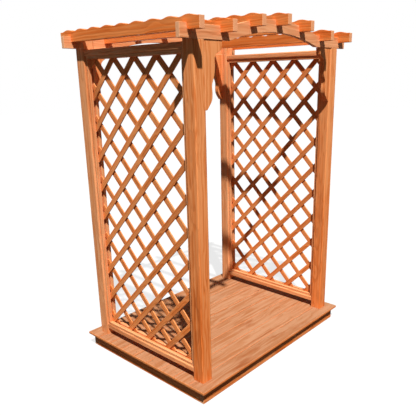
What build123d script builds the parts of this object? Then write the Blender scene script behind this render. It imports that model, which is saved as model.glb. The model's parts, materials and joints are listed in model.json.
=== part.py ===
from build123d import *
import math
import os

# Garden arbor on its own deck. Millimetres, +Z up, ground at Z=0.
# X runs across the walkway, Y along it, the front is on the -Y side.

# Driving sizes
post_size = 89
post_edge_radius = 10
span_x = 1524
span_y = 1112
deck_margin = 70
board_count = 9
board_thickness = 18
board_gap = 2
board_edge_radius = 5
skirt_height = 92
skirt_thickness = 30
skirt_inset = 30
joist_count = 3
joist_thickness = 40
header_clearance = 2100
header_height = 76
header_thickness = 28
header_overhang = 99
arch_half_span = 462
arch_rise = 68
rafter_count = 7
rafter_pitch = 262
rafter_thickness = 39
rafter_height = 76
rafter_overhang = 92
rafter_lift = 40
scallop_count = 9
scallop_depth = 11
scallop_end_flat = 15
post_top_gap = 8
rail_height = 41
rail_side_inset = 5
rail_edge_radius = 9
bottom_rail_raise = 48
top_rail_drop = 9
stop_height = 20
stop_width = 24
stop_gap = 0.6
bar_width = 30
bar_thickness = 8
lattice_pitch = 197
lattice_rise = 210
lattice_offset = 0
bracket_width = 147
bracket_drop = 376
bracket_thickness = 36
bracket_face_inset = 4

# Levels and places worked out from the sizes above
deck_top = skirt_height + board_thickness
header_bottom = deck_top + header_clearance
header_top = header_bottom + header_height
half_x = span_x / 2
half_y = span_y / 2
inner_x = half_x - post_size
inner_y = half_y - post_size
deck_half_x = half_x + deck_margin
deck_half_y = half_y + deck_margin
rail_bottom = deck_top + bottom_rail_raise
rail_top = rail_bottom + rail_height
top_rail_top = header_bottom - top_rail_drop
top_rail_bottom = top_rail_top - rail_height
arch_radius = (arch_half_span**2 + arch_rise**2) / (2 * arch_rise)
# The rafters and the headers each give up half of the height they share.
lap_depth = (header_height - rafter_lift) / 2

os.makedirs("parts", exist_ok=True)


def save(name, *solids):
    shape = Compound(children=list(solids)) if len(solids) > 1 else solids[0]
    export_step(shape, "parts/" + name + ".step")


def block(x0, x1, y0, y1, z0, z1):
    centre = ((x0 + x1) / 2, (y0 + y1) / 2, (z0 + z1) / 2)
    return Pos(*centre) * Box(x1 - x0, y1 - y0, z1 - z0)


def arch_height(x):
    if abs(x) >= arch_half_span:
        return 0.0
    return math.sqrt(arch_radius**2 - x**2) - (arch_radius - arch_rise)


def across_plane(y):
    return Plane(origin=(0, y, 0), x_dir=(1, 0, 0), z_dir=(0, -1, 0))


def along_plane(x):
    return Plane(origin=(x, 0, 0), x_dir=(0, 1, 0), z_dir=(1, 0, 0))


# Deck: boards along X with eased edges, the outermost ones rounded at the rim
board_width = (2 * deck_half_y - (board_count - 1) * board_gap) / board_count
boards = []
for i in range(board_count):
    y0 = -deck_half_y + i * (board_width + board_gap)
    y1 = y0 + board_width
    board = block(-deck_half_x, deck_half_x, y0, y1, skirt_height, deck_top)
    top_edges = board.faces().sort_by(Axis.Z)[-1].edges()
    rim = [e for e in top_edges if abs(abs(e.center().X) - deck_half_x) < 1]
    rim += [e for e in top_edges if abs(abs(e.center().Y) - deck_half_y) < 1]
    board = fillet(rim, board_edge_radius)
    boards.append(board)
save("deck_boards", *boards)

# Skirt: the front and back pieces run full width, the side pieces fit between them
skirt_x = deck_half_x - skirt_inset
skirt_y = deck_half_y - skirt_inset
inner_skirt_x = skirt_x - skirt_thickness
inner_skirt_y = skirt_y - skirt_thickness
save("front_skirt", block(-skirt_x, skirt_x, -skirt_y, -inner_skirt_y, 0, skirt_height))
save("back_skirt", block(-skirt_x, skirt_x, inner_skirt_y, skirt_y, 0, skirt_height))
save("left_skirt", block(-skirt_x, -inner_skirt_x, -inner_skirt_y, inner_skirt_y, 0, skirt_height))
save("right_skirt", block(inner_skirt_x, skirt_x, -inner_skirt_y, inner_skirt_y, 0, skirt_height))

joists = []
for i in range(joist_count):
    x = (i - (joist_count - 1) / 2) * 2 * inner_skirt_x / (joist_count + 1)
    x0 = x - joist_thickness / 2
    joists.append(block(x0, x0 + joist_thickness, -inner_skirt_y, inner_skirt_y, 0, skirt_height))
save("deck_joists", *joists)

# Posts: rounded long edges, and a top cut back on the outside to seat the header
post_top = header_top - post_top_gap
for side, sx in (("left", -1), ("right", 1)):
    for end, sy in (("front", -1), ("back", 1)):
        x = sx * (half_x - post_size / 2)
        y = sy * (half_y - post_size / 2)
        post = Pos(x, y, (deck_top + post_top) / 2) * Box(post_size, post_size, post_top - deck_top)
        post = fillet(post.edges().filter_by(Axis.Z), post_edge_radius)
        face_y = sorted((sy * half_y, sy * (half_y - header_thickness)))
        seat = block(x - post_size, x + post_size, *face_y, header_bottom, post_top + 10)
        save(end + "_" + side + "_post", post - seat)

# Side rails with rounded long edges, centred on the posts
rail_width = post_size - 2 * rail_side_inset
for side, sx in (("left", -1), ("right", 1)):
    x = sx * (half_x - post_size / 2)
    for level, z0 in (("bottom", rail_bottom), ("top", top_rail_bottom)):
        rail = block(x - rail_width / 2, x + rail_width / 2, -inner_y, inner_y, z0, z0 + rail_height)
        rail = fillet(rail.edges().filter_by(Axis.Y), rail_edge_radius)
        save(side + "_" + level + "_rail", rail)

# Stops: mitred frames that hold the lattice on its outer and inner faces
frame_z0 = rail_top
frame_z1 = top_rail_bottom


def stop_frame(x0, x1):
    h = stop_height
    g = stop_gap
    y = inner_y
    corners = [
        [(-y, frame_z0), (y, frame_z0), (y - h, frame_z0 + h), (-y + h, frame_z0 + h)],
        [(-y, frame_z1), (y, frame_z1), (y - h, frame_z1 - h), (-y + h, frame_z1 - h)],
        [(-y, frame_z0 + g), (-y, frame_z1 - g), (-y + h, frame_z1 - h - g), (-y + h, frame_z0 + h + g)],
        [(y, frame_z0 + g), (y, frame_z1 - g), (y - h, frame_z1 - h - g), (y - h, frame_z0 + h + g)],
    ]
    pieces = []
    for points in corners:
        face = along_plane(x0) * make_face(Polyline(*points, close=True))
        pieces.append(extrude(face, x1 - x0, dir=(1, 0, 0)))
    return pieces


for side, sx in (("left", -1), ("right", 1)):
    centre = sx * (half_x - post_size / 2)
    for name, s in (("outer", sx), ("inner", -sx)):
        near = centre + s * bar_thickness
        far = near + s * stop_width
        save(side + "_" + name + "_stops", *stop_frame(min(near, far), max(near, far)))

# Lattice: two layers of slanted bars, joined where they cross. The openings
# are a little taller than they are wide.
panel_height = frame_z1 - frame_z0
bar_angle = math.degrees(math.atan2(lattice_rise, lattice_pitch))
crossing_z = frame_z1 - stop_height - lattice_offset
window = Pos(0, (frame_z0 + frame_z1) / 2) * Rectangle(2 * inner_y, panel_height)


def lattice_layer(slope, x0):
    reach = panel_height / lattice_rise + 2 * inner_y / lattice_pitch
    count = math.ceil(reach / 2) + 1
    bars = []
    for i in range(-2 * count, 2 * count + 1):
        y = i * lattice_pitch
        bar = Pos(y, crossing_z) * Rot(0, 0, bar_angle * slope) * Rectangle(4 * panel_height, bar_width)
        piece = bar & window
        for face in piece.faces() if piece else []:
            if face.area > bar_width:
                bars.append(extrude(along_plane(x0) * face, bar_thickness, dir=(1, 0, 0)))
    return bars


for side, sx in (("left", -1), ("right", 1)):
    centre = sx * (half_x - post_size / 2)
    bars = lattice_layer(-1, centre - bar_thickness) + lattice_layer(1, centre)
    lattice = bars[0].fuse(*bars[1:]).clean()
    # Loose offcuts in the corners of the window are left out.
    save(side + "_lattice", lattice.solids().sort_by(SortBy.VOLUME)[-1])

# Headers: flat ends and an arched middle, slotted from above for the rafters
e = half_x + header_overhang
h0 = header_bottom
h1 = header_top
a = arch_half_span
header_lines = [
    Line((-e, h0), (-a, h0)),
    ThreePointArc((-a, h0), (0, h0 + arch_rise), (a, h0)),
    Line((a, h0), (e, h0)),
    Line((e, h0), (e, h1)),
    Line((e, h1), (a, h1)),
    ThreePointArc((a, h1), (0, h1 + arch_rise), (-a, h1)),
    Line((-a, h1), (-e, h1)),
    Line((-e, h1), (-e, h0)),
]
header_outline = make_face(Curve() + header_lines)
rafter_xs = [(i - (rafter_count - 1) / 2) * rafter_pitch for i in range(rafter_count)]
rafter_bottoms = [header_bottom + rafter_lift + arch_height(x) for x in rafter_xs]
for end, sy in (("front", -1), ("back", 1)):
    y0, y1 = sorted((sy * half_y, sy * (half_y - header_thickness)))
    header = extrude(across_plane(y1) * header_outline, y1 - y0, dir=(0, -1, 0))
    for x, z in zip(rafter_xs, rafter_bottoms):
        x0 = x - rafter_thickness / 2
        header -= block(x0, x0 + rafter_thickness, y0 - 1, y1 + 1, z + lap_depth, z + 200)
    save(end + "_header", header)

# Rafters: a row of even scallops on top, notched from below over each header
rafter_half = half_y + rafter_overhang
wave = (2 * rafter_half - 2 * scallop_end_flat) / scallop_count
top = rafter_height
valley = top - scallop_depth
mid = top - scallop_depth / 2
s = math.sqrt(0.5)


def wave_point(k):
    # Quarter steps along the scallops: valley, middle, peak, middle
    height = (valley, mid, top, mid)[k % 4]
    return (-rafter_half + scallop_end_flat + k * wave / 4, height)


def wave_arc(k0, k1, up):
    # A round piece that is level at the valley or the peak it belongs to
    p0 = wave_point(k0)
    p1 = wave_point(k1)
    run = wave / 4
    rise = scallop_depth / 2
    radius = (run**2 + rise**2) / (2 * rise)
    if k1 - k0 == 2:
        return ThreePointArc(p0, wave_point(k0 + 1), p1)
    x = (p0[0] + p1[0]) / 2
    level_x = p0[0] if k0 % 4 == 0 else p1[0]
    drop = radius - math.sqrt(radius**2 - (x - level_x) ** 2)
    return ThreePointArc(p0, (x, valley + drop if up else top - drop), p1)


rafter_lines = [Line((-rafter_half, 0), (-rafter_half, valley))]
rafter_lines.append(Line((-rafter_half, valley), wave_point(0)))
rafter_lines.append(wave_arc(0, 1, True))
for k in range(1, 4 * scallop_count - 1, 2):
    rafter_lines.append(wave_arc(k, k + 2, False))
rafter_lines.append(wave_arc(4 * scallop_count - 1, 4 * scallop_count, True))
rafter_lines.append(Line(wave_point(4 * scallop_count), (rafter_half, valley)))
rafter_lines.append(Line((rafter_half, valley), (rafter_half, 0)))
rafter_lines.append(Line((rafter_half, 0), (-rafter_half, 0)))
rafter_outline = make_face(Curve() + rafter_lines)
for i, (x, z) in enumerate(zip(rafter_xs, rafter_bottoms)):
    x0 = x - rafter_thickness / 2
    rafter = extrude(along_plane(x0) * (Pos(0, z) * rafter_outline), rafter_thickness, dir=(1, 0, 0))
    for sy in (-1, 1):
        y0, y1 = sorted((sy * half_y, sy * (half_y - header_thickness)))
        rafter -= block(x0 - 1, x0 + rafter_thickness + 1, y0, y1, z - 1, z + lap_depth)
    save("rafter_" + str(i + 1), rafter)

# Corner brackets: a square nose under the header and a wavy run down the post
w = bracket_width
d = bracket_drop
bracket_wave = [
    (0.97 * w, -0.125 * d),
    (0.64 * w, -0.207 * d),
    (0.56 * w, -0.27 * d),
    (0.565 * w, -0.38 * d),
    (0.52 * w, -0.51 * d),
    (0.395 * w, -0.635 * d),
    (0.41 * w, -0.76 * d),
    (0.36 * w, -0.87 * d),
    (0.1 * w, -d),
]
bracket_lines = [
    Line((0, 0), (w, 0)),
    Line((w, 0), bracket_wave[0]),
    Spline(*bracket_wave),
    Line(bracket_wave[-1], (0, -d)),
    Line((0, -d), (0, 0)),
]
bracket_outline = make_face(Curve() + bracket_lines)
for side, sx in (("left", -1), ("right", 1)):
    for end, sy in (("front", -1), ("back", 1)):
        outline = Pos(-inner_x, header_bottom) * bracket_outline
        y_outer = sy * (half_y - bracket_face_inset)
        y_inner = y_outer - sy * bracket_thickness
        y0, y1 = sorted((y_outer, y_inner))
        bracket = extrude(across_plane(y1) * outline, y1 - y0, dir=(0, -1, 0))
        if sx > 0:
            bracket = mirror(bracket, about=Plane.YZ)
        save(end + "_" + side + "_bracket", bracket)
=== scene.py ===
import bpy
import bmesh
import json
import math
import random
from mathutils import Matrix, Quaternion, Vector

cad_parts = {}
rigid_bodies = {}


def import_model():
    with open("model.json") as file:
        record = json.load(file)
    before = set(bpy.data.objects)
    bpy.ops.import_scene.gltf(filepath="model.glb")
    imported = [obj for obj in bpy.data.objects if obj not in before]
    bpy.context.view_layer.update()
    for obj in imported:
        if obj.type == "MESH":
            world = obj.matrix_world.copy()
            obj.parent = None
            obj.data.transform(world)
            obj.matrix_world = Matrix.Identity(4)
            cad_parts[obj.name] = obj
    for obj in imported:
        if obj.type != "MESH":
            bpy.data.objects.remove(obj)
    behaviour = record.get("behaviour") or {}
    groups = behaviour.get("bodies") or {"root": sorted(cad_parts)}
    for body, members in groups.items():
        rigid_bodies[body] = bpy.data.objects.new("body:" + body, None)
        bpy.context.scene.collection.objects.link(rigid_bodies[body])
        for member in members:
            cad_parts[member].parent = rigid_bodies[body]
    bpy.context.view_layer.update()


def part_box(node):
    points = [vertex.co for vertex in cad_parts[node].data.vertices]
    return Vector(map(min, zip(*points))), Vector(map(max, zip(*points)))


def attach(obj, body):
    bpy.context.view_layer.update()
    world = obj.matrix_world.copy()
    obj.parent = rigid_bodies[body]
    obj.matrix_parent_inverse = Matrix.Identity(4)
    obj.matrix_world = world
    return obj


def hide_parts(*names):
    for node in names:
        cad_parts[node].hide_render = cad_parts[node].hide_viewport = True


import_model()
print("frame loaded")


# Boards are made one at a time, each with its own grain coordinates, then
# gathered into one mesh for each CAD node.

worldAxes = (Vector((1, 0, 0)), Vector((0, 1, 0)), Vector((0, 0, 1)))


def newPile():
    return {"verts": [], "faces": [], "grain": [], "seed": [], "half": []}


def addBoard(pile, bm, grainDir, seed, ease=0.002, segments=3, minAngle=35):
    # Eases the sharp edges, then adds the board to the pile.
    bmesh.ops.recalc_face_normals(bm, faces=bm.faces)
    sharp = [e for e in bm.edges if len(e.link_faces) == 2 and e.calc_face_angle(0) > math.radians(minAngle)]
    if ease > 0 and sharp:
        bmesh.ops.bevel(bm, geom=sharp, offset=ease, offset_type="OFFSET", segments=segments,
                        profile=0.5, affect="EDGES", clamp_overlap=True)
    u = Vector(grainDir).normalized()
    spare = min(worldAxes, key=lambda a: abs(a.dot(u)))
    v = u.cross(spare).normalized()
    w = u.cross(v)
    local = [Vector((p.co.dot(u), p.co.dot(v), p.co.dot(w))) for p in bm.verts]
    low = Vector([min(q[i] for q in local) for i in range(3)])
    high = Vector([max(q[i] for q in local) for i in range(3)])
    mid = (low + high) / 2
    half = (high - low) / 2
    start = len(pile["verts"])
    bm.verts.index_update()
    pile["verts"] += [tuple(p.co) for p in bm.verts]
    pile["faces"] += [[start + p.index for p in f.verts] for f in bm.faces]
    pile["grain"] += [tuple(q - mid) for q in local]
    pile["seed"] += [seed] * len(local)
    pile["half"] += [tuple(half)] * len(local)
    bm.free()


def prism(outline, place, c0, c1):
    # A flat outline pushed from c0 to c1; place turns (a, b, c) into a point.
    bm = bmesh.new()
    near = [bm.verts.new(place(a, b, c0)) for a, b in outline]
    far = [bm.verts.new(place(a, b, c1)) for a, b in outline]
    bm.faces.new(near)
    bm.faces.new(list(reversed(far)))
    for i in range(len(outline)):
        j = (i + 1) % len(outline)
        bm.faces.new((near[i], far[i], far[j], near[j]))
    return bm


def alongX(a, b, c):
    return (c, a, b)


def alongY(a, b, c):
    return (a, c, b)


def alongZ(a, b, c):
    return (a, b, c)


def cuboid(low, high):
    return prism([(low[0], low[1]), (high[0], low[1]), (high[0], high[1]), (low[0], high[1])],
                 alongZ, low[2], high[2])


def roundedRect(a0, a1, b0, b1, radii, steps=6):
    # Corner radii in the order low-low, high-low, high-high, low-high.
    points = []
    corners = ((a0, b0, 180), (a1, b0, 270), (a1, b1, 0), (a0, b1, 90))
    for (a, b, startAngle), r in zip(corners, radii):
        if r <= 0:
            points.append((a, b))
            continue
        ca = a + r if a == a0 else a - r
        cb = b + r if b == b0 else b - r
        for i in range(steps + 1):
            t = math.radians(startAngle + 90 * i / steps)
            points.append((ca + r * math.cos(t), cb + r * math.sin(t)))
    return points


def setNumbers(mesh, name, kind, values):
    data = mesh.attributes.new(name, kind, "POINT").data
    if kind == "FLOAT":
        data.foreach_set("value", values)
    else:
        data.foreach_set("vector", [n for triple in values for n in triple])


def plainMesh(obj):
    # Turns the evaluated shape into the object's own mesh and drops its modifiers.
    graph = bpy.context.evaluated_depsgraph_get()
    graph.update()
    done = bpy.data.meshes.new_from_object(obj.evaluated_get(graph), preserve_all_data_layers=True,
                                           depsgraph=graph)
    obj.modifiers.clear()
    obj.data = done
    return obj


def linkObject(name, mesh):
    obj = bpy.data.objects.new(name, mesh)
    bpy.context.scene.collection.objects.link(obj)
    return obj


def finishPile(pile, name, material):
    mesh = bpy.data.meshes.new(name)
    mesh.from_pydata(pile["verts"], [], pile["faces"])
    setNumbers(mesh, "grainSpace", "FLOAT_VECTOR", pile["grain"])
    setNumbers(mesh, "boardSeed", "FLOAT", pile["seed"])
    setNumbers(mesh, "halfSize", "FLOAT_VECTOR", pile["half"])
    mesh.shade_smooth()
    mesh.materials.append(material)
    obj = linkObject(name, mesh)
    normals = obj.modifiers.new("faceNormals", "WEIGHTED_NORMAL")
    normals.keep_sharp = True
    return plainMesh(obj)


def seat(obj, slot, *nodes):
    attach(obj, "root")
    if nodes:
        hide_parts(*nodes)


class Graph:
    # A short way to add and join nodes.
    def __init__(self, tree):
        self.tree = tree

    def node(self, kind, inputs=None, **props):
        made = self.tree.nodes.new(kind)
        for key, value in props.items():
            setattr(made, key, value)
        for key, value in (inputs or {}).items():
            socket = made.inputs[key]
            if isinstance(value, bpy.types.NodeSocket):
                self.tree.links.new(value, socket)
            else:
                socket.default_value = value
        return made

    def math(self, operation, a, b=0.0, c=0.0):
        return self.node("ShaderNodeMath", {0: a, 1: b, 2: c}, operation=operation).outputs[0]

    def vector(self, operation, a, b=(0, 0, 0)):
        made = self.node("ShaderNodeVectorMath", {0: a, 1: b}, operation=operation)
        return made.outputs["Value"] if operation == "LENGTH" else made.outputs[0]

    def combine(self, x=0.0, y=0.0, z=0.0):
        return self.node("ShaderNodeCombineXYZ", {0: x, 1: y, 2: z}).outputs[0]

    def attribute(self, name, output):
        return self.node("ShaderNodeAttribute", attribute_name=name).outputs[output]

    def mix(self, factor, a, b):
        made = self.node("ShaderNodeMix", {0: factor, 6: a, 7: b}, data_type="RGBA")
        made.clamp_factor = True
        return made.outputs[2]

    def share(self, mask, amount, a, b):
        # Lays colour b over colour a where the mask is high, by the amount at most.
        return self.mix(self.math("MULTIPLY", mask, amount), a, b)

    def noise(self, vector, detail, rough=0.5, scale=1.0):
        return self.node("ShaderNodeTexNoise", {"Vector": vector, "Scale": scale, "Detail": detail,
                                                "Roughness": rough}).outputs[0]

    def ramp(self, value, low, high):
        return self.node("ShaderNodeMapRange", {"Value": value, "From Min": low, "From Max": high},
                         interpolation_type="SMOOTHSTEP").outputs[0]


def srgb(r, g, b):
    def line(c):
        c /= 255
        return c / 12.92 if c <= 0.04045 else ((c + 0.055) / 1.055) ** 2.4
    return (line(r), line(g), line(b), 1)


def newMaterial(name):
    material = bpy.data.materials.new(name)
    material.use_nodes = True
    material.node_tree.nodes.clear()
    return material, Graph(material.node_tree)


def knotMasks(g, s, p):
    # Scattered knots, longer along the grain: the hard core and the darker halo around it.
    cells = (s["knotSpread"], 8.0, 8.0)
    scaled = g.vector("MULTIPLY", p, cells)
    knot = g.node("ShaderNodeTexVoronoi", {"Vector": scaled, "Scale": 1.0, "Randomness": 0.9})
    away = g.vector("DIVIDE", g.vector("SUBTRACT", scaled, knot.outputs["Position"]), cells)
    away = g.vector("LENGTH", g.vector("MULTIPLY", away, (0.55, 1, 1)))
    pick = g.node("ShaderNodeSeparateColor", {0: knot.outputs["Color"]}).outputs[0]
    isKnot = g.math("LESS_THAN", pick, s["knotShare"])
    core = g.math("MULTIPLY", isKnot, g.ramp(away, s["knotSize"], s["knotSize"] * 0.45))
    halo = g.math("MULTIPLY", isKnot, g.ramp(away, s["knotSize"] * 4, s["knotSize"] * 0.8))
    return core, halo


def ringMask(g, s, seed, parts, wave, knotHalo):
    # Growth rings around a heart that lies outside each board.
    sideways = g.math("FRACT", g.math("MULTIPLY", seed, 17.3))
    inward = g.math("FRACT", g.math("MULTIPLY", seed, 7.9))
    heartV = g.math("MULTIPLY", g.math("SUBTRACT", sideways, 0.5), 0.16)
    heartW = g.math("SUBTRACT", g.math("MULTIPLY", inward, 0.05), 0.09)
    dv = g.math("SUBTRACT", parts.outputs[1], heartV)
    dw = g.math("SUBTRACT", parts.outputs[2], heartW)
    radius = g.math("SQRT", g.math("ADD", g.math("MULTIPLY", dv, dv), g.math("MULTIPLY", dw, dw)))
    radius = g.math("ADD", radius, wave)
    radius = g.math("ADD", radius, g.math("MULTIPLY", knotHalo, 0.006))
    turn = g.math("FRACT", g.math("DIVIDE", radius, s["ringGap"]))
    return g.math("MULTIPLY", g.ramp(turn, 0.25, 0.9), g.ramp(turn, 1.0, 0.9))


def boardFigure(g, s):
    # What each board shows by itself: bent grain, knots, rings, streaks and fibres.
    seed = g.attribute("boardSeed", "Fac")
    grain = g.attribute("grainSpace", "Vector")
    shift = g.combine(*(g.math("MULTIPLY", seed, step) for step in (37.1, 23.7, 51.3)))
    p = g.vector("ADD", grain, shift)
    wave = g.noise(g.vector("MULTIPLY", p, (s["waveLength"], 9, 9)), 2)
    wave = g.math("MULTIPLY", g.math("SUBTRACT", wave, 0.5), s["waveDepth"])
    knotCore, knotHalo = knotMasks(g, s, p)
    parts = g.node("ShaderNodeSeparateXYZ", {0: grain})
    bent = g.vector("ADD", p, g.combine(0.0, wave, wave))
    fine = (s["streakRun"], s["streakFine"], s["streakFine"])
    streak = g.noise(g.vector("MULTIPLY", bent, fine), 3, 0.55)
    return {
        "seed": seed, "parts": parts, "place": p, "knotCore": knotCore, "knotHalo": knotHalo,
        "ring": ringMask(g, s, seed, parts, wave, knotHalo),
        "streak": streak, "streakMask": g.ramp(streak, 0.36, 0.64),
        "fibre": g.noise(g.vector("MULTIPLY", bent, (14, 620, 620)), 3, 0.6),
        "blotch": g.noise(g.vector("MULTIPLY", p, (2.2, 7, 7)), 3, 0.5),
        "speck": g.noise(g.vector("MULTIPLY", p, (160, 420, 420)), 2, 0.6),
        "flame": g.noise(g.vector("MULTIPLY", bent, (2.6, 16, 16)), 4, 0.6),
    }


def stainColour(g, s, figure):
    # The stain takes each part of the figure differently.
    colour = g.mix(figure["streakMask"], s["light"], s["middle"])
    colour = g.share(figure["ring"], s["ringDark"], colour, s["dark"])
    colour = g.share(g.ramp(figure["streak"], 0.60, 0.78), s["streakDark"], colour, s["dark"])
    colour = g.share(g.ramp(figure["fibre"], 0.35, 0.75), 0.30, colour, s["middle"])
    colour = g.share(g.ramp(figure["blotch"], 0.45, 0.75), s["blotch"], colour, s["light"])
    colour = g.share(g.ramp(figure["flame"], 0.56, 0.74), s["flame"], colour, s["dark"])
    colour = g.share(figure["knotHalo"], 0.35, colour, s["dark"])
    colour = g.share(figure["knotCore"], 0.85, colour, s["knot"])
    colour = g.share(g.ramp(figure["speck"], 0.66, 0.8), 0.25, colour, s["knot"])
    tint = g.math("FRACT", g.math("MULTIPLY", figure["seed"], 91.7))  # one tint for each board
    value = g.math("MULTIPLY_ADD", tint, s["boardSpread"], 1 - s["boardSpread"] / 2)
    return g.node("ShaderNodeHueSaturation", {"Value": value, "Color": colour}).outputs[0]


def paleTopSheenColour(g, s, figure, colour):
    # Paler towards the top, less so in the darker streaks: a painted sheen laid into the colour.
    place = g.node("ShaderNodeTexCoord").outputs["Object"]
    height = g.node("ShaderNodeSeparateXYZ", {0: place}).outputs[2]
    topSheen = g.math("MULTIPLY", g.ramp(height, s["sheenFrom"], s["sheenTo"]), s["sheenShare"])
    topSheen = g.math("MULTIPLY", topSheen, g.math("MULTIPLY_ADD", figure["streakMask"], -0.7, 1.0))
    return g.mix(topSheen, colour, s["sheenColour"])


def wornColour(g, s, figure, colour):
    # Worn long edges, deeper stain on a board's narrow sides, and thirsty end grain.
    half = g.node("ShaderNodeSeparateXYZ", {0: g.attribute("halfSize", "Vector")})
    fromEnd, fromFace, fromSide = (
        g.math("SUBTRACT", half.outputs[i], g.math("ABSOLUTE", figure["parts"].outputs[i])) for i in range(3))
    uneven = g.noise(g.vector("MULTIPLY", figure["place"], (30, 90, 90)), 3)
    uneven = g.math("MULTIPLY", g.math("SUBTRACT", uneven, 0.5), 0.008)
    fromEdge = g.math("MAXIMUM", fromFace, fromSide)
    worn = g.ramp(g.math("ADD", fromEdge, uneven), s["wearWidth"], 0.0)
    colour = g.share(worn, s["wear"], colour, s["bare"])
    colour = g.share(g.ramp(fromSide, 0.0010, 0.0002), s["sideShare"], colour, s["side"])
    endGrain = g.ramp(fromEnd, 0.0035, 0.0005)
    endColour = g.share(figure["ring"], 0.6, s["end"], s["middle"])
    return g.share(endGrain, s["endShare"], colour, endColour), endGrain


def woodMaterial(name, s):
    material, g = newMaterial(name)
    figure = boardFigure(g, s)
    colour = paleTopSheenColour(g, s, figure, stainColour(g, s, figure))
    colour, endGrain = wornColour(g, s, figure, colour)
    rough = g.math("MULTIPLY_ADD", figure["streakMask"], 0.10, s["rough"])
    rough = g.math("MULTIPLY_ADD", endGrain, 0.2, rough)
    relief = g.math("MULTIPLY", figure["ring"], -0.55)
    for part, height in (("fibre", 0.8), ("streak", 0.7), ("knotCore", -0.6)):
        relief = g.math("ADD", relief, g.math("MULTIPLY", figure[part], height))
    bump = g.node("ShaderNodeBump", {"Strength": s["bump"], "Distance": 0.0008, "Height": relief})
    shader = g.node("ShaderNodeBsdfPrincipled", {
        "Base Color": colour, "Roughness": rough, "Normal": bump.outputs[0],
        "Specular IOR Level": s["gloss"]})
    g.node("ShaderNodeOutputMaterial", {0: shader.outputs[0]})
    return material


def metalMaterial(name, colour, rough):
    material, g = newMaterial(name)
    cloud = g.noise(g.node("ShaderNodeTexCoord").outputs["Object"], 3, 0.6, 900)
    dull = (colour[0] * 0.55, colour[1] * 0.5, colour[2] * 0.45, 1)
    tone = g.mix(g.ramp(cloud, 0.4, 0.7), colour, dull)
    bump = g.node("ShaderNodeBump", {"Strength": 0.2, "Distance": 0.0002, "Height": cloud})
    shader = g.node("ShaderNodeBsdfPrincipled", {
        "Base Color": tone, "Metallic": 1.0, "Normal": bump.outputs[0],
        "Roughness": g.math("MULTIPLY_ADD", cloud, 0.25, rough)})
    g.node("ShaderNodeOutputMaterial", {0: shader.outputs[0]})
    return material


# Lengths are in metres; the others are shares or repeats for each metre.
# The paler colour blended in higher up, between its start and end heights and by its share, is a painted
# sheen.
stain = {
    "light": srgb(243, 154, 92), "middle": srgb(224, 116, 48), "dark": srgb(152, 66, 20),
    "knot": srgb(92, 40, 12), "bare": srgb(250, 188, 136), "sheenColour": srgb(250, 168, 108),
    "end": srgb(252, 200, 158), "endShare": 0.7, "side": srgb(232, 128, 62), "sideShare": 0.0,
    "waveLength": 2.6, "waveDepth": 0.066, "knotSpread": 1.3, "knotShare": 0.3, "knotSize": 0.010,
    "ringGap": 0.0085, "ringDark": 0.36, "streakRun": 1.1, "streakFine": 75, "streakDark": 0.75,
    "blotch": 0.35, "flame": 0.45, "boardSpread": 0.14, "sheenFrom": 0.4, "sheenTo": 1.9, "sheenShare": 0.75,
    "wearWidth": 0.004, "wear": 0.35, "rough": 0.5, "bump": 0.5, "gloss": 0.08,
}
postWood = woodMaterial("stainedPostWood", stain)
# A paler copy of the post stain, whose painted sheen reaches further down: a painted highlight, used on the
# back posts, rails and stops.
paleSheenWood = woodMaterial("bleachedPostWood", dict(
    stain, light=srgb(240, 166, 112), middle=srgb(222, 134, 76), dark=srgb(160, 80, 34),
    sheenColour=srgb(242, 178, 130), sheenFrom=-0.6, sheenTo=0.6, sheenShare=0.5))
roofWood = woodMaterial("stainedRoofWood", dict(
    stain, light=srgb(252, 152, 80), middle=srgb(242, 124, 50), dark=srgb(176, 78, 24), sheenShare=0.15,
    ringDark=0.35, flame=0.3, streakRun=1.6, streakFine=60, waveDepth=0.036))
# The headers take a paler copy of the stain: a painted highlight for their sunlit front faces.
headerWood = woodMaterial("paleHeaderWood", dict(
    stain, light=srgb(252, 186, 138), middle=srgb(240, 154, 102), dark=srgb(190, 98, 48), sheenShare=0.2,
    streakRun=1.6, streakFine=60, waveDepth=0.03))
# The slats' stain is a little lighter than the posts': painted light that offsets the shade the lamp casts
# across the panels.
latticeWood = woodMaterial("stainedSlatWood", dict(
    stain, light=srgb(253, 166, 100), middle=srgb(243, 136, 66), flame=0.25, sheenShare=0.35, ringGap=0.006,
    streakFine=110, knotShare=0.08, knotSize=0.005, boardSpread=0.2, wearWidth=0.002))
# The deck's stain is darkened and dulled: painted shade that offsets the strong lamp light on its top face.
deckShadedWood = woodMaterial("dustyDeckWood", dict(
    stain, light=srgb(182, 135, 102), middle=srgb(164, 107, 69), dark=srgb(142, 74, 36),
    knot=srgb(86, 42, 18), bare=srgb(198, 152, 118), sheenShare=0.0, streakRun=1.4, streakFine=46,
    ringDark=0.14, streakDark=0.18, blotch=0.7, flame=0.65, waveDepth=0.08, boardSpread=0.10, rough=0.6,
    gloss=0.04, end=srgb(240, 146, 82), endShare=0.85, sideShare=0.85))
skirtWood = woodMaterial("roughSkirtWood", dict(stain, sheenShare=0.0, rough=0.6, bump=0.6))
screwMetal = metalMaterial("bronzeScrewCoat", srgb(150, 118, 82), 0.35)
bradMetal = metalMaterial("dullBradSteel", srgb(150, 146, 140), 0.4)
print("materials made")

rng = random.Random(7)
alongBoardX, alongBoardY, upright = worldAxes
sides = ("left", "right")
ends = ("front", "back")

# Four posts: a full square shaft, and above the header's underside a thinner tongue behind it.
postSizes = {"radius": 0.010, "steps": 7, "ease": 0.002, "sharpFrom": 60}
headerLow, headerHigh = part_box("front_header")
headerThickness = headerHigh[1] - headerLow[1]
headerBottom = headerLow[2]


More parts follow.
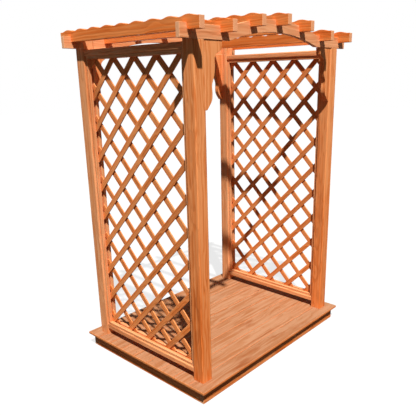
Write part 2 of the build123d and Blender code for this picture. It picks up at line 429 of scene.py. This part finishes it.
def makePost(end, side):
    low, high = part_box(f"{end}_{side}_post")
    r, steps = postSizes["radius"], postSizes["steps"]
    seed = rng.random()
    if end == "front":
        tongueY, radii = (low[1] + headerThickness, high[1]), (0, 0, r, r)
    else:
        tongueY, radii = (low[1], high[1] - headerThickness), (r, r, 0, 0)
    shaft = roundedRect(low[0], high[0], low[1], high[1], (r, r, r, r), steps)
    tongue = roundedRect(low[0], high[0], tongueY[0], tongueY[1], radii, steps)
    pile = newPile()
    for outline, z0, z1 in ((shaft, low[2], headerBottom), (tongue, headerBottom, high[2])):
        part = prism(outline, alongZ, z0, z1)
        addBoard(pile, part, upright, seed, postSizes["ease"], 2, postSizes["sharpFrom"])
    # The back posts take the paler copy of the stain, a painted highlight.
    wood = paleSheenWood if end == "back" else postWood
    seat(finishPile(pile, f"{end}{side.title()}Post", wood), "posts_and_rails", f"{end}_{side}_post")


for end in ends:
    for side in sides:
        makePost(end, side)
print("posts made")

# Side rails, and the mitred stops that hold each lattice in its frame.
railSizes = {"radius": 0.009, "steps": 6}
stopSizes = {"height": 0.020, "gap": 0.0006, "ease": 0.002}


def makeRail(side, level):
    low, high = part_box(f"{side}_{level}_rail")
    r = railSizes["radius"]
    outline = roundedRect(low[0], high[0], low[2], high[2], (r, r, r, r), railSizes["steps"])
    pile = newPile()
    addBoard(pile, prism(outline, alongY, low[1], high[1]), alongBoardY, rng.random(), 0)
    name, node = f"{side}{level.title()}Rail", f"{side}_{level}_rail"
    seat(finishPile(pile, name, paleSheenWood), "posts_and_rails", node)


def makeStops(side, face):
    low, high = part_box(f"{side}_{face}_stops")
    h, gap = stopSizes["height"], stopSizes["gap"]
    y0, y1, z0, z1 = low[1], high[1], low[2], high[2]
    strips = (
        ([(y0, z0), (y1, z0), (y1 - h, z0 + h), (y0 + h, z0 + h)], alongBoardY),
        ([(y0, z1), (y1, z1), (y1 - h, z1 - h), (y0 + h, z1 - h)], alongBoardY),
        ([(y0, z0 + gap), (y0, z1 - gap), (y0 + h, z1 - h - gap), (y0 + h, z0 + h + gap)], upright),
        ([(y1, z0 + gap), (y1, z1 - gap), (y1 - h, z1 - h - gap), (y1 - h, z0 + h + gap)], upright),
    )
    pile = newPile()
    for outline, grainDir in strips:
        strip = prism(outline, alongX, low[0], high[0])
        addBoard(pile, strip, grainDir, rng.random(), stopSizes["ease"])
    name, node = f"{side}{face.title()}Stops", f"{side}_{face}_stops"
    seat(finishPile(pile, name, paleSheenWood), "posts_and_rails", node)


for side in sides:
    for level in ("bottom", "top"):
        makeRail(side, level)
    for face in ("outer", "inner"):
        makeStops(side, face)
print("rails and stops made")

# Two headers, arched in the middle, slotted from above for the rafters.
headerSizes = {"halfSpan": 0.462, "rise": 0.068, "height": 0.076, "steps": 48, "slotDepth": 0.018,
               "ease": 0.0022, "tiny": 1e-6}
archRadius = (headerSizes["halfSpan"] ** 2 + headerSizes["rise"] ** 2) / (2 * headerSizes["rise"])
rafters = [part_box(f"rafter_{i}") for i in range(1, 8)]


def archHeight(x):
    if abs(x) >= headerSizes["halfSpan"]:
        return 0.0
    return math.sqrt(archRadius ** 2 - x * x) - (archRadius - headerSizes["rise"])


def headerTop(low, high, stations):
    # The top line from left to right, stepping down into each slot and up again.
    def topAt(x):
        return low[2] + headerSizes["height"] + archHeight(x)

    tiny = headerSizes["tiny"]
    slots = [(rLow[0], rHigh[0], rLow[2] + headerSizes["slotDepth"]) for rLow, rHigh in rafters]
    top = [(low[0], topAt(low[0]))]
    for x in sorted(stations + [x for x0, x1, base in slots for x in (x0, x1)]):
        if any(x0 + tiny < x < x1 - tiny for x0, x1, base in slots):
            continue
        down = [base for x0, x1, base in slots if abs(x - x0) < tiny]
        up = [base for x0, x1, base in slots if abs(x - x1) < tiny]
        if down:
            top += [(x, topAt(x)), (x, down[0])]
        elif up:
            top += [(x, up[0]), (x, topAt(x))]
        else:
            top.append((x, topAt(x)))
    top.append((high[0], topAt(high[0])))
    return top


def makeHeader(end):
    low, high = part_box(f"{end}_header")
    a, steps = headerSizes["halfSpan"], headerSizes["steps"]
    stations = [-a + 2 * a * i / steps for i in range(steps + 1)]
    under = [(low[0], low[2])] + [(x, low[2] + archHeight(x)) for x in stations] + [(high[0], low[2])]
    outline = under + list(reversed(headerTop(low, high, stations)))
    pile = newPile()
    board = prism(outline, alongY, low[1], high[1])
    addBoard(pile, board, alongBoardX, rng.random(), headerSizes["ease"])
    seat(finishPile(pile, f"{end}Header", headerWood), "roof_timber", f"{end}_header")


for end in ends:
    makeHeader(end)
print("headers made")

# Seven rafters with an evenly scalloped top, notched from below over each header.
rafterSizes = {"scallops": 9, "depth": 0.011, "endFlat": 0.015, "steps": 16, "notch": 0.018, "ease": 0.002}
headers = [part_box(f"{end}_header") for end in ends]


def scallopHeight(fromValley, run, depth):
    # Two equal arcs, hollow at the valley and round at the crest.
    rise = depth / 2
    bow = (run ** 2 + rise ** 2) / (2 * rise)
    if fromValley <= run:
        return bow - math.sqrt(bow ** 2 - fromValley ** 2)
    return depth - (bow - math.sqrt(bow ** 2 - (2 * run - fromValley) ** 2))


def makeRafter(number, low, high):
    y0, y1, base = low[1], high[1], low[2]
    flat, depth, notch = rafterSizes["endFlat"], rafterSizes["depth"], rafterSizes["notch"]
    valley = high[2] - depth
    scallop = (y1 - y0 - 2 * flat) / rafterSizes["scallops"]
    top = [(y0, valley)]
    for k in range(rafterSizes["scallops"] * rafterSizes["steps"] + 1):
        along = k * scallop / rafterSizes["steps"]
        phase = (along / scallop) % 1.0
        fromValley = min(phase, 1 - phase) * scallop
        top.append((y0 + flat + along, valley + scallopHeight(fromValley, scallop / 4, depth)))
    top.append((y1, valley))
    under = [(y1, base)]
    for hLow, hHigh in reversed(headers):
        under += [(hHigh[1], base), (hHigh[1], base + notch), (hLow[1], base + notch), (hLow[1], base)]
    under.append((y0, base))
    pile = newPile()
    board = prism(top + under, alongX, low[0], high[0])
    addBoard(pile, board, alongBoardY, rng.random(), rafterSizes["ease"])
    seat(finishPile(pile, f"rafter{number}", roofWood), "roof_timber", f"rafter_{number}")


for number, (low, high) in enumerate(rafters, 1):
    makeRafter(number, low, high)
print("rafters made")

# Four wavy corner brackets. The curve is in shares of the bracket's width and drop.
bracketSizes = {"steps": 6, "ease": 0.0022}
bracketCurve = [(0.97, -0.125), (0.64, -0.207), (0.56, -0.27), (0.565, -0.38), (0.52, -0.51), (0.395, -0.635),
                (0.41, -0.76), (0.36, -0.87), (0.1, -1.0)]


def smoothLine(points, steps):
    # A smooth run through the points, even through the sharper turns.
    padded = [points[0]] + points + [points[-1]]
    out = []
    for i in range(1, len(padded) - 2):
        p0, p1, p2, p3 = (Vector(q) for q in padded[i - 1:i + 3])
        for k in range(steps):
            t = k / steps
            q = 0.5 * ((2 * p1) + (p2 - p0) * t + (2 * p0 - 5 * p1 + 4 * p2 - p3) * t * t
                       + (3 * p1 - p0 - 3 * p2 + p3) * t ** 3)
            out.append((q.x, q.y))
    out.append(tuple(points[-1]))
    return out


def makeBracket(end, side):
    low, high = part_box(f"{end}_{side}_bracket")
    drop = high[2] - low[2]
    rootX, tipX = (low[0], high[0]) if side == "left" else (high[0], low[0])
    outline = [(rootX, high[2]), (tipX, high[2])]
    outline += [(rootX + (tipX - rootX) * a, high[2] + drop * b)
                for a, b in smoothLine(bracketCurve, bracketSizes["steps"])]
    outline.append((rootX, low[2]))
    pile = newPile()
    addBoard(pile, prism(outline, alongY, low[1], high[1]), upright, rng.random(), bracketSizes["ease"])
    name, node = f"{end}{side.title()}Bracket", f"{end}_{side}_bracket"
    seat(finishPile(pile, name, postWood), "posts_and_rails", node)


for end in ends:
    for side in sides:
        makeBracket(end, side)
print("brackets made")

# The deck: boards along X with a rounded outer rim, a skirt on four sides, and joists below.
deckSizes = {"boards": 9, "gap": 0.002, "ease": 0.0018, "rim": 0.005, "rimSegments": 5, "tiny": 1e-5}
baseSizes = {"ease": 0.0015, "joistThickness": 0.040}
deckLow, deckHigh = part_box("deck_boards")
joistLow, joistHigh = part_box("deck_joists")
boardWidth = (deckHigh[1] - deckLow[1] - (deckSizes["boards"] - 1) * deckSizes["gap"]) / deckSizes["boards"]


def boardStart(number):
    return deckLow[1] + number * (boardWidth + deckSizes["gap"])


def makeDeckBoard(pile, number):
    y0 = boardStart(number)
    y1 = y0 + boardWidth
    tiny = deckSizes["tiny"]
    isFirst, isLast = number == 0, number == deckSizes["boards"] - 1
    bm = cuboid((deckLow[0], y0, deckLow[2]), (deckHigh[0], y1, deckHigh[2]))
    rim = []
    for e in bm.edges:
        mid = (e.verts[0].co + e.verts[1].co) / 2
        atTop = mid.z > deckHigh[2] - tiny
        outerX = abs(abs(mid.x) - deckHigh[0]) < tiny
        outerY = (isFirst and mid.y < y0 + tiny) or (isLast and mid.y > y1 - tiny)
        if atTop and (outerX or outerY):
            rim.append(e)
    bmesh.ops.bevel(bm, geom=rim, offset=deckSizes["rim"], offset_type="OFFSET", profile=0.5,
                    segments=deckSizes["rimSegments"], affect="EDGES", clamp_overlap=True)
    addBoard(pile, bm, alongBoardX, rng.random(), deckSizes["ease"], 2)


def makeSkirt(where, grainDir):
    low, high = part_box(f"{where}_skirt")
    pile = newPile()
    addBoard(pile, cuboid(low, high), grainDir, rng.random(), baseSizes["ease"])
    seat(finishPile(pile, f"{where}Skirt", skirtWood), "base_frame", f"{where}_skirt")


def makeJoists():
    low, high, thick = joistLow, joistHigh, baseSizes["joistThickness"]
    pile = newPile()
    for x in (low[0], (low[0] + high[0] - thick) / 2, high[0] - thick):
        joist = cuboid((x, low[1], low[2]), (x + thick, high[1], high[2]))
        addBoard(pile, joist, alongBoardY, rng.random(), baseSizes["ease"])
    seat(finishPile(pile, "deckJoists", skirtWood), "base_frame", "deck_joists")


pile = newPile()
for number in range(deckSizes["boards"]):
    makeDeckBoard(pile, number)
seat(finishPile(pile, "deckBoards", deckShadedWood), "deck", "deck_boards")
for where in ends:
    makeSkirt(where, alongBoardX)
for where in sides:
    makeSkirt(where, alongBoardY)
makeJoists()
print("deck made")

# The lattice: Geometry Nodes set out each slanted layer of slats, cut to the panel.
latticeSizes = {"pitch": 0.207, "rise": 0.210, "width": 0.038, "thickness": 0.008, "count": 33,
                "endMargin": 0.009, "crossingDrop": 0.020, "shortest": 0.03, "ease": 0.0012,
                "seeds": {"left": 31, "right": 11}}


class Field(Graph):
    # A geometry tree with named inputs.
    def __init__(self, name, sockets):
        super().__init__(bpy.data.node_groups.new(name, "GeometryNodeTree"))
        face = self.tree.interface
        face.new_socket("Geometry", in_out="OUTPUT", socket_type="NodeSocketGeometry")
        face.new_socket("Geometry", in_out="INPUT", socket_type="NodeSocketGeometry")
        self.ids = {}
        for label, kind in sockets:
            self.ids[label] = face.new_socket(label, in_out="INPUT", socket_type=kind).identifier
        self.start = self.tree.nodes.new("NodeGroupInput")
        self.end = self.tree.nodes.new("NodeGroupOutput")

    def ask(self, label):
        return self.start.outputs[label]

    def named(self, name, kind):
        return self.node("GeometryNodeInputNamedAttribute", {"Name": name}, data_type=kind).outputs[0]

    def store(self, geometry, name, kind, value):
        inputs = {"Geometry": geometry, "Name": name, "Value": value}
        return self.node("GeometryNodeStoreNamedAttribute", inputs, data_type=kind, domain="POINT").outputs[0]

    def randomNumber(self, low, high):
        made = self.node("FunctionNodeRandomValue", {"Seed": self.ask("Seed")}, data_type="FLOAT")
        made.inputs[2].default_value = low
        made.inputs[3].default_value = high
        return made.outputs[1]

    def finish(self, geometry):
        inputs = {"Geometry": geometry, "Material": self.ask("Material")}
        painted = self.node("GeometryNodeSetMaterial", inputs)
        self.tree.links.new(painted.outputs[0], self.end.inputs[0])

    def apply(self, obj, values):
        made = obj.modifiers.new(self.tree.name, "NODES")
        made.node_group = self.tree
        for label, value in values.items():
            made[self.ids[label]] = value


def slatTree():
    f = Field("slatLayer", (
        ("Slat", "NodeSocketObject"), ("Count", "NodeSocketInt"), ("Pitch", "NodeSocketFloat"),
        ("Rise", "NodeSocketFloat"), ("Panel Depth", "NodeSocketFloat"),
        ("Panel Height", "NodeSocketFloat"), ("Crossing Height", "NodeSocketFloat"),
        ("End Margin", "NodeSocketFloat"), ("Lean", "NodeSocketFloat"),
        ("Shortest", "NodeSocketFloat"), ("Seed", "NodeSocketInt"), ("Centre", "NodeSocketVector"),
        ("Material", "NodeSocketMaterial")))
    line = f.node("GeometryNodeMeshLine", {"Count": f.ask("Count")})
    index = f.node("GeometryNodeInputIndex").outputs[0]

    # Each slat crosses the crossing height at y0; its ends are cut to the panel.
    middle = f.math("DIVIDE", f.math("SUBTRACT", f.ask("Count"), 1.0), 2.0)
    y0 = f.math("MULTIPLY", f.math("SUBTRACT", index, middle), f.ask("Pitch"))
    lean = f.math("MULTIPLY", f.ask("Lean"), f.math("DIVIDE", f.ask("Rise"), f.ask("Pitch")))
    across = f.math("DIVIDE", 1.0, lean)
    reach = f.math("SUBTRACT", f.math("MULTIPLY", f.ask("Panel Depth"), 0.5), f.ask("End Margin"))
    zc = f.ask("Crossing Height")
    back = f.math("MULTIPLY", reach, -1.0)
    zA = f.math("ADD", zc, f.math("MULTIPLY", lean, f.math("SUBTRACT", back, y0)))
    zB = f.math("ADD", zc, f.math("MULTIPLY", lean, f.math("SUBTRACT", reach, y0)))
    panelTop = f.math("SUBTRACT", f.ask("Panel Height"), f.ask("End Margin"))
    zLow = f.math("MAXIMUM", f.ask("End Margin"), f.math("MINIMUM", zA, zB))
    zHigh = f.math("MINIMUM", panelTop, f.math("MAXIMUM", zA, zB))
    rise = f.math("SUBTRACT", zHigh, zLow)
    zMid = f.math("MULTIPLY", f.math("ADD", zLow, zHigh), 0.5)
    yMid = f.math("ADD", y0, f.math("MULTIPLY", across, f.math("SUBTRACT", zMid, zc)))
    length = f.math("MULTIPLY", rise, f.math("SQRT", f.math("MULTIPLY_ADD", across, across, 1.0)))

    # The points carry each slat's length and seed; too short ones are dropped.
    points = f.store(line.outputs[0], "slatLength", "FLOAT", length)
    points = f.store(points, "boardSeed", "FLOAT", f.randomNumber(0.0, 1.0))
    spot = f.vector("ADD", f.combine(0.0, yMid, zMid), f.ask("Centre"))
    points = f.node("GeometryNodeSetPosition", {"Geometry": points, "Position": spot}).outputs[0]
    tooShort = f.node("FunctionNodeCompare", {0: rise, 1: f.ask("Shortest")}, operation="LESS_THAN",
                      data_type="FLOAT").outputs[0]
    points = f.node("GeometryNodeDeleteGeometry", {"Geometry": points, "Selection": tooShort}).outputs[0]

    # One slat shape, turned, stretched to length, and its grain coordinates stretched with it.
    shape = f.node("GeometryNodeObjectInfo", {"Object": f.ask("Slat")}).outputs["Geometry"]
    slatLength = f.named("slatLength", "FLOAT")
    turn = f.combine(f.math("MULTIPLY", f.math("ARCTANGENT", across), -1.0))
    slats = f.node("GeometryNodeInstanceOnPoints", {
        "Points": points, "Instance": shape, "Rotation": turn, "Scale": f.combine(1.0, 1.0, slatLength)})
    real = f.node("GeometryNodeRealizeInstances", {"Geometry": slats.outputs[0]}).outputs[0]
    for name in ("grainSpace", "halfSize"):
        scaled = f.vector("MULTIPLY", f.named(name, "FLOAT_VECTOR"), f.combine(slatLength, 1.0, 1.0))
        real = f.store(real, name, "FLOAT_VECTOR", scaled)
    f.finish(real)
    return f


def makeSlat():
    halfT, halfW = latticeSizes["thickness"] / 2, latticeSizes["width"] / 2
    pile = newPile()
    unitSlat = cuboid((-halfT, -halfW, -0.5), (halfT, halfW, 0.5))
    addBoard(pile, unitSlat, upright, 0.0, latticeSizes["ease"], 2)
    return finishPile(pile, "slatShape", latticeWood)


def makeLattice(side):
    low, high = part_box(f"{side}_lattice")
    midX = (low[0] + high[0]) / 2
    layers = []
    for number, lean in enumerate((-1.0, 1.0)):
        name = f"{side}Layer{number}"
        host = linkObject(name, bpy.data.meshes.new(name))
        slatField.apply(host, {
            "Slat": slatShape, "Count": latticeSizes["count"], "Pitch": latticeSizes["pitch"],
            "Rise": latticeSizes["rise"], "Panel Depth": high[1] - low[1], "Panel Height": high[2] - low[2],
            "Crossing Height": high[2] - low[2] - latticeSizes["crossingDrop"],
            "End Margin": latticeSizes["endMargin"], "Lean": lean, "Shortest": latticeSizes["shortest"],
            "Seed": latticeSizes["seeds"][side] + number,
            "Centre": (midX + lean * latticeSizes["thickness"] / 2, 0.0, low[2]), "Material": latticeWood})
        layers.append(plainMesh(host))
    panel = layers[0]
    with bpy.context.temp_override(active_object=panel, object=panel, selected_objects=layers,
                                   selected_editable_objects=layers):
        bpy.ops.object.join()
    panel.name = f"{side}Lattice"
    panel.data.name = panel.name
    seat(panel, "lattice", f"{side}_lattice")


slatField = slatTree()
slatShape = makeSlat()
for side in sides:
    makeLattice(side)
bpy.data.objects.remove(slatShape)
print("lattice made")

# Screws, nails and brads: Geometry Nodes set one head on each point, facing outwards.
screwHead = {"radius": 0.0034, "height": 0.0008, "sides": 10, "drive": True, "seeds": {"deck": 3, "skirt": 5}}
nailHead = {"radius": 0.0022, "height": 0.00048, "sides": 8, "drive": False, "seed": 7}
bradHead = {"radius": 0.0016, "height": 0.0004, "sides": 6, "drive": False, "seed": 9}
headSunk = 0.0008


def fastenerTree():
    f = Field("fastenerSet", (("Head", "NodeSocketObject"), ("Seed", "NodeSocketInt"),
                              ("Material", "NodeSocketMaterial")))
    facing = f.named("facing", "FLOAT_VECTOR")
    angle = f.randomNumber(0.0, 2 * math.pi)
    stand = f.node("FunctionNodeAlignRotationToVector", {"Vector": facing}, axis="Z")
    spin = f.node("FunctionNodeAxisAngleToRotation", {"Axis": (0, 0, 1), "Angle": angle})
    turn = f.node("FunctionNodeRotateRotation", {0: stand.outputs[0], 1: spin.outputs[0]},
                  rotation_space="LOCAL").outputs[0]
    shape = f.node("GeometryNodeObjectInfo", {"Object": f.ask("Head")}).outputs["Geometry"]
    heads = f.node("GeometryNodeInstanceOnPoints", {"Points": f.ask("Geometry"), "Instance": shape,
                                                    "Rotation": turn}).outputs[0]
    f.finish(f.node("GeometryNodeRealizeInstances", {"Geometry": heads}).outputs[0])
    return f


def headShape(name, size):
    # A low head, its rim sunk a little into the wood; a screw also has a round drive hole.
    radius, height, sideCount = size["radius"], size["height"], size["sides"]
    levels = [(radius, -headSunk), (radius, height * 0.35), (radius * 0.8, height)]
    if size["drive"]:
        levels += [(radius * 0.42, height), (radius * 0.34, height * 0.2)]
    turns = [2 * math.pi * i / sideCount for i in range(sideCount)]
    bm = bmesh.new()
    rings = [[bm.verts.new((r * math.cos(t), r * math.sin(t), z)) for t in turns] for r, z in levels]
    for lower, upper in zip(rings, rings[1:]):
        for i in range(sideCount):
            j = (i + 1) % sideCount
            bm.faces.new((lower[i], lower[j], upper[j], upper[i]))
    bm.faces.new(rings[-1])
    bm.faces.new(list(reversed(rings[0])))
    mesh = bpy.data.meshes.new(name)
    bm.to_mesh(mesh)
    bm.free()
    return linkObject(name, mesh)


def addFasteners(name, spots, head, seed, material):
    mesh = bpy.data.meshes.new(name)
    mesh.from_pydata([point for point, facing in spots], [], [])
    setNumbers(mesh, "facing", "FLOAT_VECTOR", [facing for point, facing in spots])
    obj = linkObject(name, mesh)
    fastenerField.apply(obj, {"Head": head, "Seed": seed, "Material": material})
    plainMesh(obj)
    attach(obj, "root")
    print(name, len(spots), "heads")


# Two screws through each deck board's ends and over each joist.
deckScrewPlaces = {"fromEnd": 0.045, "fromSide": 0.024, "driftX": 0.002, "driftY": 0.003}


def deckScrewSpots():
    inset, fromSide = deckScrewPlaces["fromEnd"], deckScrewPlaces["fromSide"]
    driftX, driftY = deckScrewPlaces["driftX"], deckScrewPlaces["driftY"]
    joistX = joistHigh[0] - baseSizes["joistThickness"] / 2
    spots = []
    for number in range(deckSizes["boards"]):
        for x in (deckLow[0] + inset, -joistX, 0.0, joistX, deckHigh[0] - inset):
            for edge in (fromSide, boardWidth - fromSide):
                y = boardStart(number) + edge
                point = (x + rng.uniform(-driftX, driftX), y + rng.uniform(-driftY, driftY), deckHigh[2])
                spots.append((point, (0, 0, 1)))
    return spots


# Pairs of screws, one above the other, along each skirt board.
skirtScrewPlaces = {"reachX": 0.78, "reachY": 0.54, "heights": (0.026, 0.068)}


def skirtScrewSpots():
    reachX, reachY, heights = (skirtScrewPlaces[key] for key in ("reachX", "reachY", "heights"))
    spots = []
    for x in (-reachX, -reachX / 3, reachX / 3, reachX):
        for end, out in (("front", -1), ("back", 1)):
            low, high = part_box(f"{end}_skirt")
            y = low[1] if out < 0 else high[1]
            spots += [((x, y, z), (0, out, 0)) for z in heights]
    for y in (-reachY, 0.0, reachY):
        for side, out in (("left", -1), ("right", 1)):
            low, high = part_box(f"{side}_skirt")
            x = low[0] if out < 0 else high[0]
            spots += [((x, y, z), (out, 0, 0)) for z in heights]
    return spots


# Nails along the middle of each stop.
nailPlaces = {"fromEnd": 0.09, "inset": 0.010, "drift": 0.006, "upright": 8, "level": 4}


def evenPlaces(low, high, count):
    fromEnd = nailPlaces["fromEnd"]
    return [low + fromEnd + k * (high - low - 2 * fromEnd) / (count - 1) for k in range(count)]


def stopNailSpots():
    inset, drift = nailPlaces["inset"], nailPlaces["drift"]
    spots = []
    for side in sides:
        for face in ("outer", "inner"):
            low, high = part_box(f"{side}_{face}_stops")
            out = -1 if (side == "left") == (face == "outer") else 1
            x = low[0] if out < 0 else high[0]
            for z in evenPlaces(low[2], high[2], nailPlaces["upright"]):
                for y in (low[1] + inset, high[1] - inset):
                    spots.append(((x, y, z + rng.uniform(-drift, drift)), (out, 0, 0)))
            for y in evenPlaces(low[1], high[1], nailPlaces["level"]):
                for z in (low[2] + inset, high[2] - inset):
                    spots.append(((x, y + rng.uniform(-drift, drift), z), (out, 0, 0)))
    return spots


# A brad on both faces wherever two slats cross.
bradPlaces = {"inset": 0.03, "rows": 40, "columns": 4}


def bradSpots():
    inset, columns = bradPlaces["inset"], bradPlaces["columns"]
    spots = []
    for side in sides:
        low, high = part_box(f"{side}_lattice")
        for row in range(-1, bradPlaces["rows"]):
            z = high[2] - latticeSizes["crossingDrop"] - row * latticeSizes["rise"] / 2
            for k in range(-columns, columns + 1):
                y = (k + (row % 2) / 2) * latticeSizes["pitch"]
                if low[1] + inset < y < high[1] - inset and low[2] + inset < z < high[2] - inset:
                    spots += [((low[0], y, z), (-1, 0, 0)), ((high[0], y, z), (1, 0, 0))]
    return spots


fastenerField = fastenerTree()
screwShape = headShape("screwHead", screwHead)
nailShape = headShape("nailHead", nailHead)
bradShape = headShape("bradHead", bradHead)
addFasteners("deckScrews", deckScrewSpots(), screwShape, screwHead["seeds"]["deck"], screwMetal)
addFasteners("skirtScrews", skirtScrewSpots(), screwShape, screwHead["seeds"]["skirt"], screwMetal)
addFasteners("stopNails", stopNailSpots(), nailShape, nailHead["seed"], bradMetal)
addFasteners("latticeBrads", bradSpots(), bradShape, bradHead["seed"], bradMetal)
for shape in (screwShape, nailShape, bradShape):
    bpy.data.objects.remove(shape)
print("screws and nails made")

# A pale floor under a pale surround. Both look white to the camera and throw little light back.
stage = {"reach": 30.0, "floorHeight": -0.0005, "bounce": (0.05, 0.049, 0.048, 1), "glow": 0.80, "wash": 0.16,
         "skyColour": (1.0, 0.98, 0.95, 1), "sky": 0.075, "white": (1, 1, 1, 1)}
sun = {"strength": 5.75, "spread": 1.2, "colour": (1.0, 0.97, 0.93), "path": (0.315, 0.412, -0.87)}


def seenDirectly(g):
    path = g.node("ShaderNodeLightPath")
    seen = g.math("MAXIMUM", path.outputs["Is Camera Ray"], path.outputs["Is Glossy Ray"])
    return g.math("MAXIMUM", seen, path.outputs["Is Transmission Ray"])


def makeFloor():
    reach, z = stage["reach"], stage["floorHeight"]
    corners = [(-reach, -reach, z), (reach, -reach, z), (reach, reach, z), (-reach, reach, z)]
    mesh = bpy.data.meshes.new("floor")
    mesh.from_pydata(corners, [], [(0, 1, 2, 3)])
    paint, g = newMaterial("paleFloor")
    plain = g.node("ShaderNodeBsdfDiffuse", {"Color": stage["bounce"]})
    bright = g.node("ShaderNodeEmission", {"Color": stage["white"], "Strength": stage["glow"]})
    wash = g.node("ShaderNodeBsdfDiffuse", {"Color": (stage["wash"], stage["wash"], stage["wash"], 1)})
    both = g.node("ShaderNodeAddShader", {0: bright.outputs[0], 1: wash.outputs[0]})
    shown = g.node("ShaderNodeMixShader", {0: seenDirectly(g), 1: plain.outputs[0], 2: both.outputs[0]})
    g.node("ShaderNodeOutputMaterial", {0: shown.outputs[0]})
    mesh.materials.append(paint)
    return linkObject("floor", mesh)


def makeSurround():
    world = bpy.data.worlds.new("paleSurround")
    bpy.context.scene.world = world
    world.use_nodes = True
    world.node_tree.nodes.clear()
    g = Graph(world.node_tree)
    soft = g.node("ShaderNodeBackground", {"Color": stage["skyColour"], "Strength": stage["sky"]})
    white = g.node("ShaderNodeBackground", {"Color": stage["white"], "Strength": 1.0})
    shown = g.node("ShaderNodeMixShader", {0: seenDirectly(g), 1: soft.outputs[0], 2: white.outputs[0]})
    g.node("ShaderNodeOutputWorld", {0: shown.outputs[0]})


def makeSun():
    lamp = bpy.data.lights.new("keyLamp", "SUN")
    lamp.energy = sun["strength"]
    lamp.angle = math.radians(sun["spread"])
    lamp.color = sun["colour"]
    lampObject = linkObject("keyLamp", lamp)
    lampObject.rotation_euler = Vector(sun["path"]).to_track_quat("-Z", "Y").to_euler()


# The camera's place in metres, its turns in degrees, its lens and picture centre in pixels.
shot = {"place": (-2.7387, -2.5142, 1.9961), "heading": 41.8813, "tilt": -16.6318, "roll": -0.8621,
        "focal": 494.57, "centre": (222.2, 227.9), "picture": 416, "sensor": 36, "farthest": 200}


def makeCamera():
    eye = bpy.data.cameras.new("camera")
    eye.sensor_width = shot["sensor"]
    eye.lens = shot["focal"] / shot["picture"] * shot["sensor"]
    eye.shift_x = (shot["picture"] / 2 - shot["centre"][0]) / shot["picture"]
    eye.shift_y = (shot["centre"][1] - shot["picture"] / 2) / shot["picture"]
    eye.clip_end = shot["farthest"]
    heading, tilt = math.radians(shot["heading"]), math.radians(shot["tilt"])
    ahead = Vector((math.cos(tilt) * math.cos(heading), math.cos(tilt) * math.sin(heading), math.sin(tilt)))
    turn = ahead.to_track_quat("-Z", "Y") @ Quaternion((0, 0, 1), math.radians(shot["roll"]))
    camera = linkObject("camera", eye)
    camera.matrix_world = Matrix.LocRotScale(Vector(shot["place"]), turn, None)
    bpy.context.scene.camera = camera


makeFloor()
makeSurround()
makeSun()
makeCamera()
bpy.context.scene.view_settings.view_transform = "Standard"
print("stage set")
